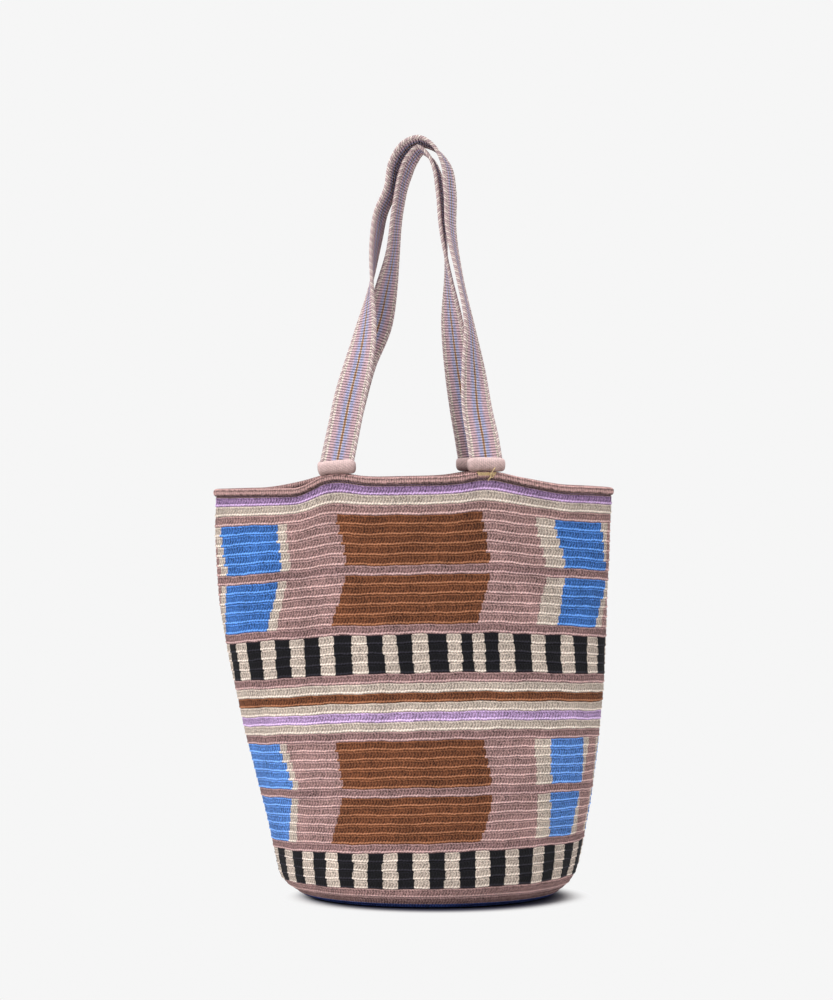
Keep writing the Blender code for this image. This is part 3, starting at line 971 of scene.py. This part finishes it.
def wall_band(first_row, rings, per_stitch, depth, facing, seed):
    """Points of one face of a band of rows, and the pattern places and colours of its corners."""
    rng = np.random.default_rng(seed)
    rows = range(first_row, first_row + ROWS_PER_PIECE)
    at = np.array([row + ring[0] for row in rows for ring in rings] + [rows[-1] + 1.0])
    shares = even_shares(STITCHES * per_stitch)
    margin = np.array([at[0] - BAND_MARGIN, *at, at[-1] + BAND_MARGIN])
    grid = np.stack([wall_ring(row, depth, shares) for row in margin])
    normal = normals_of(grid)[1:-1]
    rise = unit(grid[2:] - grid[:-2])
    grid = grid[1:-1]

    steps = rng.integers(0, START_STEPS, ROWS_PER_PIECE) / START_STEPS
    steps = np.repeat(steps, len(rings))
    steps = np.append(steps, steps[-1])[:, None]
    stitch = np.arange(len(shares))[None, :] / per_stitch
    heights = np.array([ring[1] for ring in rings] * ROWS_PER_PIECE + [rings[0][1]])[:, None]
    swings = np.array([ring[2] for ring in rings] * ROWS_PER_PIECE + [rings[0][2]])[:, None]
    wave = np.cos(FULL_TURN * (stitch + steps + STROKE_SLANT * at[:, None]))
    calm = (smoothstep(0.0, CALM_ROWS, at) * smoothstep(0.0, CALM_ROWS, ROWS - at))[:, None]
    relief = heights + swings * wave + facing * calm * swing(IN_AND_OUT, shares, at[:, None])
    drift = calm * swing(UP_AND_DOWN, shares, at[:, None])
    points = grid + MM * (facing * normal * relief[..., None] + rise * drift[..., None])
    colours = yarn_colours(rings, rows, per_stitch, seed)
    corner_colours = np.repeat(colours.reshape(-1, 3), 4, axis=0)
    return points, corner_places(at, steps, per_stitch), corner_colours


def corner_places(at, steps, per_stitch):
    """Pattern places of the four corners of every quad of a band."""
    columns = STITCHES * per_stitch
    left = np.arange(columns)[None, :] / per_stitch + steps[:-1]
    corners = np.empty((len(at) - 1, columns, 4, 2))
    corners[:, :, (0, 3), 0] = left[:, :, None]
    corners[:, :, (1, 2), 0] = left[:, :, None] + 1.0 / per_stitch
    corners[:, :, (0, 1), 1] = at[:-1, None, None]
    corners[:, :, (2, 3), 1] = at[1:, None, None]
    return corners


def make_wall_piece(number, finish):
    """One closed ring of the wall: some rows outside, the same rows inside, and its two edges."""
    first_row = number * ROWS_PER_PIECE
    outer, outer_places, outer_colours = wall_band(
        first_row, STITCH_RINGS, OUTER_COLUMNS, ROW_RELIEF, 1.0, OUTER_SEED + number
    )
    inner, inner_places, inner_colours = wall_band(
        first_row, INNER_RINGS, INNER_COLUMNS, WALL, -1.0, INNER_SEED + number
    )
    out_count, in_count = outer.shape[1], inner.shape[1]
    inner_first = outer.shape[0] * out_count
    inner_last = inner_first + (inner.shape[0] - 1) * in_count
    outer_last = (outer.shape[0] - 1) * out_count
    outer_quads = grid_quads(outer.shape[0], out_count)
    inner_quads = grid_quads(inner.shape[0], in_count, inner_first)[:, ::-1]
    lower = bridge(inner_first, in_count, 0, out_count)
    upper = [face[::-1] for face in bridge(inner_last, in_count, outer_last, out_count)]
    vertices = np.concatenate((outer.reshape(-1, 3), inner.reshape(-1, 3)))
    faces = outer_quads.tolist() + inner_quads.tolist() + lower + upper
    edge_corners = sum(len(face) for face in lower + upper)
    outer_places = outer_places.reshape(-1, 2)
    inner_places = inner_places[:, :, ::-1].reshape(-1, 2)
    places = np.concatenate((outer_places, inner_places, np.zeros((edge_corners, 2))))
    pink = np.tile(YARN_COLOURS["pink"], (edge_corners, 1))
    colours = np.concatenate((outer_colours, inner_colours, pink))
    name = f"crochet_rows_{number + 1}"
    make_piece(name, vertices, faces, places, finish, "bag_body", colours)


def make_base(finish):
    """Underside and inner floor: plain rounds of crochet between them and the first row."""
    count = STITCHES
    shares = even_shares(count)
    lowest = np.stack([wall_ring(row, ROW_RELIEF, shares) for row in (0.0, FOOT_MARGIN)])
    outside = [lowest[0] + normals_of(lowest)[0] * STITCH_RINGS[0][1] * MM]
    for share in FOOT_EDGE_SHARES:
        outside.append(wall_ring(0, 0.0, shares, height=share * FIRST_ROW_HEIGHT))
    foot = outside[-1].copy()
    foot[:, 2] = 0.0
    outside[-1] = foot
    for step in range(1, GROUND_ROUNDS * 4):
        ring = foot * (1.0 - step / (GROUND_ROUNDS * 4.0))
        ring[:, 2] = GROUND_LIFT * GROUND_WAVE[step % 4]
        outside.append(ring)
    edge = wall_ring(0, WALL, shares)
    edge[:, 2] = WALL
    inside = [edge]
    for step in range(1, GROUND_ROUNDS * 2):
        ring = edge * (1.0 - step / (GROUND_ROUNDS * 2.0))
        ring[:, 2] = WALL + FLOOR_LIFT * (step % 2)
        inside.append(ring)
    rings = inside[::-1] + outside
    vertices = np.concatenate((*rings, [(0.0, 0.0, WALL), (0.0, 0.0, 0.0)]))
    faces = grid_quads(len(rings), count)[:, ::-1].tolist()
    floor_point, under_point = len(vertices) - 2, len(vertices) - 1
    last = (len(rings) - 1) * count
    for k in range(count):
        nxt = (k + 1) % count
        faces.append((floor_point, k, nxt))
        faces.append((under_point, last + nxt, last + k))

    corners = corner_points(faces)
    place = vertices[corners]
    distance = np.hypot(place[:, 0] / FOOT_HALF_WIDTH, place[:, 1] / half_depth(0.0))
    places = np.stack((corners % count, distance * GROUND_ROUNDS), axis=1)
    # the underside's navy yarn, darkened as painted shade
    shaded_navy = np.tile(YARN_COLOURS["shaded_navy"], (len(corners), 1))
    make_piece("crochet_base", vertices, faces, places, finish, "bag_body", shaded_navy)


# Corded edge of the mouth


def tube(line, side, up, radius, angles):
    """Rings of points round a line, with a radius for each station and angle."""
    cos, sin = np.cos(angles)[None, :, None], np.sin(angles)[None, :, None]
    return line[:, None] + radius[:, :, None] * (cos * side[:, None] + sin * up[:, None])


def tube_places(turn, station):
    """Pattern places of a capped tube's face corners, round it and along it."""
    round_it = np.concatenate((turn, turn[:, :1] + 1.0), axis=1)
    quads = np.empty((len(turn) - 1, turn.shape[1], 4, 2))
    quads[..., 0, 0], quads[..., 1, 0] = round_it[1:, :-1], round_it[1:, 1:]
    quads[..., 2, 0], quads[..., 3, 0] = round_it[:-1, 1:], round_it[:-1, :-1]
    quads[:, :, :2, 1] = station[1:, None, None]
    quads[:, :, 2:, 1] = station[:-1, None, None]
    return np.concatenate((quads.reshape(-1, 2), np.zeros((2 * turn.shape[1], 2))))


def edge_line(shares):
    """The centre line of the cord that lies on the mouth."""
    line = wall_ring(ROWS, 0.5 * WALL, shares)
    line[:, 2] += SEAT_GAP + EDGE_RADIUS
    return line


def make_mouth_cord(finish):
    count = EDGE_STITCHES * EDGE_COLUMNS
    line = edge_line(even_shares(count))
    flat = unit((np.roll(line, -1, axis=0) - np.roll(line, 1, axis=0))[:, :2])
    outward = np.stack((flat[:, 1], -flat[:, 0], np.zeros(count)), axis=1)
    up = np.tile((0.0, 0.0, 1.0), (count, 1))
    angles = FULL_TURN * np.arange(EDGE_SIDES) / EDGE_SIDES
    stitch = np.arange(count)[:, None] / EDGE_COLUMNS + EDGE_SLANT * np.cos(angles)[None, :]
    wave = np.cos(FULL_TURN * stitch)
    uneven = EDGE_UNEVEN * swing(IN_AND_OUT, even_shares(count), 0.0)[:, None]
    oval = np.cos(2.0 * (angles - EDGE_OVAL_ANGLE))[None, :]
    seat = EDGE_FILL * smoothstep(*EDGE_FILL_RISE, -np.sin(angles))[None, :]
    swell = EDGE_SWELL * (0.5 * wave + 0.4 * oval + uneven - 0.4)
    radius = EDGE_RADIUS + swell * (seat == 0.0) + seat
    points = tube(line, outward, up, radius, angles)
    faces = grid_quads(count + 1, EDGE_SIDES)[:, ::-1] % (count * EDGE_SIDES)
    turn = np.arange(EDGE_SIDES)[None, :] / EDGE_SIDES
    corners = np.empty((count, EDGE_SIDES, 4, 2))
    ahead = np.concatenate((stitch[1:], stitch[:1] + EDGE_STITCHES))
    sides = np.roll(stitch, -1, axis=1), np.roll(ahead, -1, axis=1)
    corners[..., 0] = np.stack((ahead, sides[1], sides[0], stitch), axis=2)
    corners[:, :, (0, 3), 1] = turn[:, :, None]
    corners[:, :, (1, 2), 1] = turn[:, :, None] + 1.0 / EDGE_SIDES
    points, faces, places = points.reshape(-1, 3), faces.tolist(), corners.reshape(-1, 2)
    make_piece("mouth_cord", points, faces, places, finish, "rim_edging")


# Handles, with the part's own routes


def station_shares():
    even = np.arange(WALL_STATIONS) / WALL_STATIONS
    return even + STATION_BIAS / (4.0 * np.pi) * np.sin(4.0 * np.pi * even)


def edge_at(x, side):
    """Point, direction towards +X and outward normal of the edge's centre line at an x."""
    line = edge_line(station_shares())
    line = line[np.argsort(line[:, 0])]
    half = line[line[:, 1] * side >= 0.0]
    reach = 0.5 * STRAP_WIDTH
    point, near, far = (
        np.array([np.interp(place, half[:, 0], part) for part in half.T])
        for place in (x, x - reach, x + reach)
    )
    along = unit(far - near)
    outward = unit(np.array((-along[1], along[0], 0.0)) * side)
    return point, along, outward


def cuff_seat(x, side):
    point, along, outward = edge_at(x, side)
    lift = EDGE_RADIUS + 2.0 * SEAT_GAP + 0.5 * CUFF_HEIGHT
    return point + np.array((0.0, 0.0, lift)), along, outward


def smooth_through(keys, step):
    """A smooth curve through key points, read at even steps of their chord length."""
    keys = np.asarray(keys, float)
    steps = np.linalg.norm(np.diff(keys[:, :3], axis=0), axis=1)
    at = np.concatenate(([0.0], np.cumsum(steps)))
    slopes = np.gradient(keys, at, axis=0)
    wanted = np.linspace(0.0, at[-1], round(at[-1] / step) + 1)
    low = np.clip(np.searchsorted(at, wanted, side="right") - 1, 0, len(at) - 2)
    span = (at[low + 1] - at[low])[:, None]
    t = (wanted - at[low])[:, None] / span
    start = (2 * t**3 - 3 * t**2 + 1) * keys[low] + (t**3 - 2 * t**2 + t) * span * slopes[low]
    end = (3 * t**2 - 2 * t**3) * keys[low + 1] + (t**3 - t**2) * span * slopes[low + 1]
    return start + end


def leg_keys(root, turn, top, stations):
    keys = [(*root, turn, 0.0)]
    for rise, across, inward, angle in stations:
        x = root[0] + across * (top[0] - root[0])
        y = root[1] + inward * (top[1] - root[1])
        keys.append((x, y, root[2] + rise * (top[2] - root[2]), angle, rise))
    return keys


def eased(directions, reach):
    """Directions along a route, averaged twice over as many stations on both sides."""
    kernel = np.ones(2 * reach + 1) / (2 * reach + 1)
    for _ in range(2):
        padded = np.pad(directions, ((reach, reach), (0, 0)), mode="edge")
        directions = np.stack([np.convolve(part, kernel, "valid") for part in padded.T], axis=1)
    return directions


def strap_route(side, roots, legs, top_turn, top_height, step):
    """Centre points and frames of a handle: tangent, width direction and face normal."""
    top = (HANDLE_X, side * HANDLE_SPREAD, top_height)
    ends, turns = [], []
    for x in roots:
        middle, along, _ = cuff_seat(x, side)
        ends.append(middle + np.array((0.0, 0.0, 0.5 * CUFF_HEIGHT - POCKET_DEPTH)))
        turns.append(np.degrees(np.arctan2(along[1], along[0])))
    keys = leg_keys(ends[0], turns[0], top, legs[0])
    keys.append((*top, top_turn, 1.0))
    keys += leg_keys(ends[1], turns[1] + 180.0 * side, top, legs[1])[::-1]
    path = smooth_through(keys, step)
    points, angle, rise = path[:, :3], np.radians(path[:, 3]), path[:, 4]
    tangent = unit(np.gradient(points, axis=0))
    tilt = -TOP_TILT * np.sin(angle) * smoothstep(*TOP_TILT_RISE, rise)
    width = np.stack((np.cos(angle), np.sin(angle), tilt), axis=1)
    width = unit(width - tangent * np.sum(width * tangent, axis=1, keepdims=True))
    near_top = smoothstep(*TOP_EASE_RISE, rise)[:, None]
    width = unit(width + (eased(width, round(TOP_EASE / step)) - width) * near_top)
    return points, tangent, width, unit(np.cross(tangent, width))


def capped(points):
    """Faces of a tube of closed rings with both ends shut, and the tube's points in one list."""
    stations, sides = points.shape[:2]
    faces = grid_quads(stations, sides)[:, ::-1].tolist()
    faces.append(list(range(sides)))
    faces.append(list(range((stations - 1) * sides, stations * sides))[::-1])
    return points.reshape(-1, 3), faces


def make_band(name, node, route, finish):
    """The woven band between its two edge cords, ribbed across on both faces."""
    points, _, width, normal = route
    reach = 0.5 * STRAP_WIDTH - 2.0 * BEAD_RADIUS + BAND_LAP
    thick = 0.5 * STRAP_THICKNESS - RIB_SWELL
    across = np.linspace(-reach, reach, BAND_COLUMNS)
    rib = np.abs(np.sin(np.pi * np.arange(len(points)) / RIB_STATIONS)) ** RIB_POWER
    high = thick + RIB_SWELL * rib[:, None, None]
    front = points[:, None] + across[None, :, None] * width[:, None] + high * normal[:, None]
    back = points[:, None] + across[None, ::-1, None] * width[:, None] - high * normal[:, None]
    rings = np.concatenate((front, back), axis=1)
    vertices, faces = capped(rings)
    share = 0.5 + across / STRAP_WIDTH
    place = np.empty((len(points), 2 * BAND_COLUMNS, 2))
    place[:, :, 0] = np.concatenate((share, share[::-1]))[None]
    place[:, :, 1] = np.arange(len(points))[:, None] / RIB_STATIONS
    places = place.reshape(-1, 2)[corner_points(faces)]
    make_piece(name, vertices, faces, places, finish, node)


def make_edge_cord(name, node, route, side, finish):
    """A cord of three strands along one edge of a handle."""
    points, _, width, normal = route
    line = points + side * (0.5 * STRAP_WIDTH - BEAD_RADIUS) * width
    station = np.arange(len(line)) / CORD_STATIONS
    turn = np.arange(CORD_SIDES) / CORD_SIDES
    phase = turn[None, :] - side * station[:, None]
    strand = np.abs(np.sin(len(CORD_COLOURS) * np.pi * phase))
    radius = BEAD_RADIUS * (1.0 - CORD_VALLEY + CORD_VALLEY * strand)
    rings = tube(line, width, normal, radius, -FULL_TURN * turn)
    vertices, faces = capped(rings)
    places = tube_places(phase, station)
    make_piece(name, vertices, faces, places, finish, node)


# Wrapped cuffs and the thread tie


def make_cuff(name, node, x, side, pocket, finish):
    """A roll wrapped in thread, with the pocket in which the handle's end sits."""
    middle, along, outward = cuff_seat(x, side)
    up = np.cross(outward, along) * -side
    turns = np.linspace(0.0, FULL_TURN, CUFF_SIDES, endpoint=False)
    count = round(CUFF_LENGTH / WRAP_PITCH) * WRAP_RINGS
    shares = np.sin(np.radians(np.linspace(-CUFF_END_ANGLE, CUFF_END_ANGLE, count)))
    probes = np.linspace(-1.0, 1.0, CUFF_PROBES)
    axis = [middle + along * probe * 0.5 * CUFF_LENGTH for probe in probes]
    below = [spot[2] - edge_at(spot[0], side)[0][2] - EDGE_RADIUS - CUFF_SEAT for spot in axis]
    cos, sin = np.cos(turns), np.sin(turns)
    squared_cos = np.sign(cos) * np.abs(cos) ** CUFF_SQUARENESS
    squared_sin = np.sign(sin) * np.abs(sin) ** CUFF_SQUARENESS
    rings = []
    for k, share in enumerate(shares):
        full = (1.0 - share**6) ** (1.0 / 3.0)
        wrap = -WRAP_SWELL * (1.0 - abs(math.sin(math.pi * k / WRAP_RINGS)))
        out = (0.5 * CUFF_DEPTH + wrap) * full * squared_cos
        half = np.where(sin < 0.0, np.interp(share, probes, below), 0.5 * CUFF_HEIGHT + wrap)
        high = half * full * squared_sin
        centre = middle + along * share * 0.5 * CUFF_LENGTH
        rings.append(centre + outward * out[:, None] + up * high[:, None])
    vertices, faces = capped(np.array(rings))
    turn = np.broadcast_to(turns / FULL_TURN, (count, CUFF_SIDES))
    places = tube_places(turn, np.arange(count) / WRAP_RINGS)
    cuff = make_piece(name, vertices, faces, places, finish, node)
    cut_pocket(cuff, *pocket)


def cut_pocket(piece, point, tangent, width, normal):
    """Cuts the pocket for a handle's end as the part's source does."""
    wide = STRAP_WIDTH + 2.0 * POCKET_GAP
    thick = 2.0 * (BEAD_RADIUS + POCKET_GAP)
    tall = 3.0 * CUFF_HEIGHT
    bpy.ops.object.select_all(action="DESELECT")
    bpy.ops.mesh.primitive_cube_add(size=1.0)
    cutter = bpy.context.object
    place = Matrix((width, normal, tangent)).transposed().to_4x4()
    place.translation = Vector(point + tangent * (0.5 * tall - POCKET_GAP))
    cutter.matrix_world = place @ Matrix.Diagonal((wide, thick, tall, 1.0))
    cut = piece.modifiers.new("pocket", "BOOLEAN")
    cut.operation = "DIFFERENCE"
    cut.solver = "EXACT"
    cut.object = cutter
    bpy.context.view_layer.objects.active = piece
    bpy.ops.object.modifier_apply(modifier=cut.name)
    bpy.data.objects.remove(cutter, do_unlink=True)


def make_tie(finish):
    """A thin thread wound under the front right cuff, with a knot and two cut ends."""
    strands = []
    for start, end, lean in TIE_STRANDS:
        strand = []
        for share in np.linspace(-TIE_TUCK, 1.0 + TIE_TUCK, TIE_STATIONS):
            point, _, outward = edge_at(start + (end - start) * share, -1)
            tuck = TIE_TUCK_TURN * max(-share, share - 1.0, 0.0) / TIE_TUCK
            turn = lean + TIE_CLIMB * share + tuck
            reach = EDGE_RADIUS + TIE_STAND_OFF * TIE_RADIUS * (1.0 - tuck)
            upwards = np.array((0.0, 0.0, math.sin(turn)))
            strand.append(point + reach * (math.cos(turn) * outward + upwards))
        strands.append(np.array(strand))
    for keys in (TIE_KNOT, *TIE_ENDS):
        path = [edge_at(x, -1)[0] + np.array((0.0, y, z)) for x, y, z in keys]
        strands.append(smooth_through(path, TIE_STEP))

    vertices, faces, places = [], [], []
    turns = np.arange(TIE_SIDES) / TIE_SIDES
    first = 0
    for line in strands:
        tangent = unit(np.gradient(line, axis=0))
        side = unit(np.cross(tangent, TIE_ASLANT))
        radius = np.full((len(line), TIE_SIDES), TIE_RADIUS)
        rings = tube(line, side, np.cross(tangent, side), radius, FULL_TURN * turns)
        points, own_faces = capped(rings[::-1])
        vertices.append(points)
        faces += [[first + k for k in face] for face in own_faces]
        along = np.arange(len(line)) / TIE_PATTERN
        places.append(tube_places(np.broadcast_to(turns, radius.shape), along))
        first += len(points)
    vertices, places = np.concatenate(vertices), np.concatenate(places)
    node = "cuff_front_right"
    make_piece("thread_tie", vertices, faces, places, finish, node)


def make_handle(name, side, roots, legs, top_turn, top_height, finishes):
    """A handle: its band, its two edge cords and its two cuffs."""
    node = f"strap_{name}"
    coarse = RIB_PITCH / RIB_STATIONS
    fine = CORD_TURN / CORD_STATIONS
    ribs = strap_route(side, roots, legs, top_turn, top_height, coarse)
    twists = strap_route(side, roots, legs, top_turn, top_height, fine)
    make_band(f"band_{name}", node, ribs, finishes["band"])
    for edge, word in ((-1, "first"), (1, "second")):
        make_edge_cord(f"edge_cord_{name}_{word}", node, twists, edge, finishes["cord"])
    points, tangent, width, normal = ribs
    for end, place, x in ((0, "left", roots[0]), (-1, "right", roots[1])):
        facing = 1.0 if end == 0 else -1.0
        pocket = (points[end], tangent[end] * facing, width[end], normal[end] * facing)
        make_cuff(f"wrap_{name}_{place}", f"cuff_{name}_{place}", x, side, pocket, finishes["wrap"])


# Surroundings


def make_floor():
    """A pale floor with a painted shadow round the foot; near the bag it also takes the bag's own
    shadow, and away from it runs into the background.
    """
    bpy.ops.object.select_all(action="DESELECT")
    bpy.ops.mesh.primitive_plane_add(size=FLOOR_SIZE, location=(0.0, 0.0, 0.0))
    floor = bpy.context.object
    floor.name = "floor"
    finish = Finish("pale_floor", roughness=1.0, sheen=0.0, specular=0.0)
    oval = (1.0 / SHADE_HALF_WIDTH, 1.0 / SHADE_HALF_DEPTH, 0.0)
    middle = (-SHADE_MIDDLE[0] / SHADE_HALF_WIDTH, -SHADE_MIDDLE[1] / SHADE_HALF_DEPTH, 0.0)
    inputs = (finish.object_place(), oval, middle)
    where = finish.node("ShaderNodeVectorMath", {"operation": "MULTIPLY_ADD"}, inputs)
    away = finish.node("ShaderNodeVectorMath", {"operation": "LENGTH"}, (where,), output=1)
    soft = {"interpolation_type": "SMOOTHSTEP"}
    # painted shadow: the floor's colour darkens within the oval round the foot
    outside_painted_shadow = finish.node("ShaderNodeMapRange", soft, (away, *SHADE_EDGE))
    finish.colour(finish.mix(outside_painted_shadow, PAINTED_FLOOR_SHADOW, grey(FLOOR_WHITE)))
    far = finish.node("ShaderNodeMapRange", soft, (away, *FLOOR_EDGE))
    paper = finish.node("ShaderNodeEmission", None, (colour4(grey(BACKDROP)), 1.0))
    finish.show("Material Output", finish.shader, paper, finish.seen_directly() * far)
    floor.data.materials.append(finish.material)


def make_world():
    """Even light from all round, with a plain pale background for what looks past the floor."""
    world = bpy.data.worlds.new("soft_room")
    world.use_nodes = True
    bpy.context.scene.world = world
    shading = Shading(world.node_tree)
    sky = shading.nodes["Background"]
    sky.inputs["Color"].default_value = colour4(grey(1.0))
    sky.inputs["Strength"].default_value = SKY_LEVEL
    seen = shading.node("ShaderNodeBackground", None, (colour4(grey(BACKDROP)), 1.0))
    shading.show("World Output", sky, seen, shading.seen_directly())


def make_sun(name, azimuth, elevation, strength, spread):
    """A sun that shines from an azimuth round from the front, with soft shadows."""
    light = bpy.data.lights.new(name, "SUN")
    light.energy = strength
    light.angle = math.radians(spread)
    lamp = bpy.data.objects.new(name, light)
    bpy.context.collection.objects.link(lamp)
    lamp.rotation_euler = (math.radians(90.0 - elevation), 0.0, math.radians(azimuth))


def make_camera():
    lens = bpy.data.cameras.new("camera")
    lens.lens = CAMERA_LENS
    lens.sensor_width = 36.0
    lens.clip_end = 100.0
    camera = bpy.data.objects.new("camera", lens)
    bpy.context.collection.objects.link(camera)
    camera.location = CAMERA_PLACE
    camera.rotation_euler = (math.radians(90.0), 0.0, 0.0)
    bpy.context.scene.camera = camera


def main():
    make_camera()
    make_floor()
    make_world()
    for name, sun in SUNS.items():
        make_sun(name, *sun)
    bpy.context.scene.view_settings.view_transform = "Standard"

    crochet = yarn_finish("crochet_cotton")
    for number in range(ROWS // ROWS_PER_PIECE):
        make_wall_piece(number, crochet)
    make_base(crochet)
    make_mouth_cord(edge_finish("corded_cotton"))
    finishes = {
        "band": band_finish("woven_stripes"),
        "cord": cord_finish("twisted_edge"),
        "wrap": wrap_finish("satin_wrap", CUFF_PINK, CUFF_PAINTED_SHADE),
    }
    front_legs = (FRONT_LEFT_LEG, FRONT_RIGHT_LEG)
    back_legs = (BACK_LEFT_LEG, BACK_RIGHT_LEG)
    back_top = FRONT_HANDLE_TOP - BACK_HANDLE_DROP
    make_handle("front", -1, FRONT_ROOTS, front_legs, FRONT_TOP_TURN, FRONT_HANDLE_TOP, finishes)
    make_handle("back", 1, BACK_ROOTS, back_legs, BACK_TOP_TURN, back_top, finishes)
    make_tie(wrap_finish("tie_thread", TIE_BEIGE, TIE_BEIGE))


main()
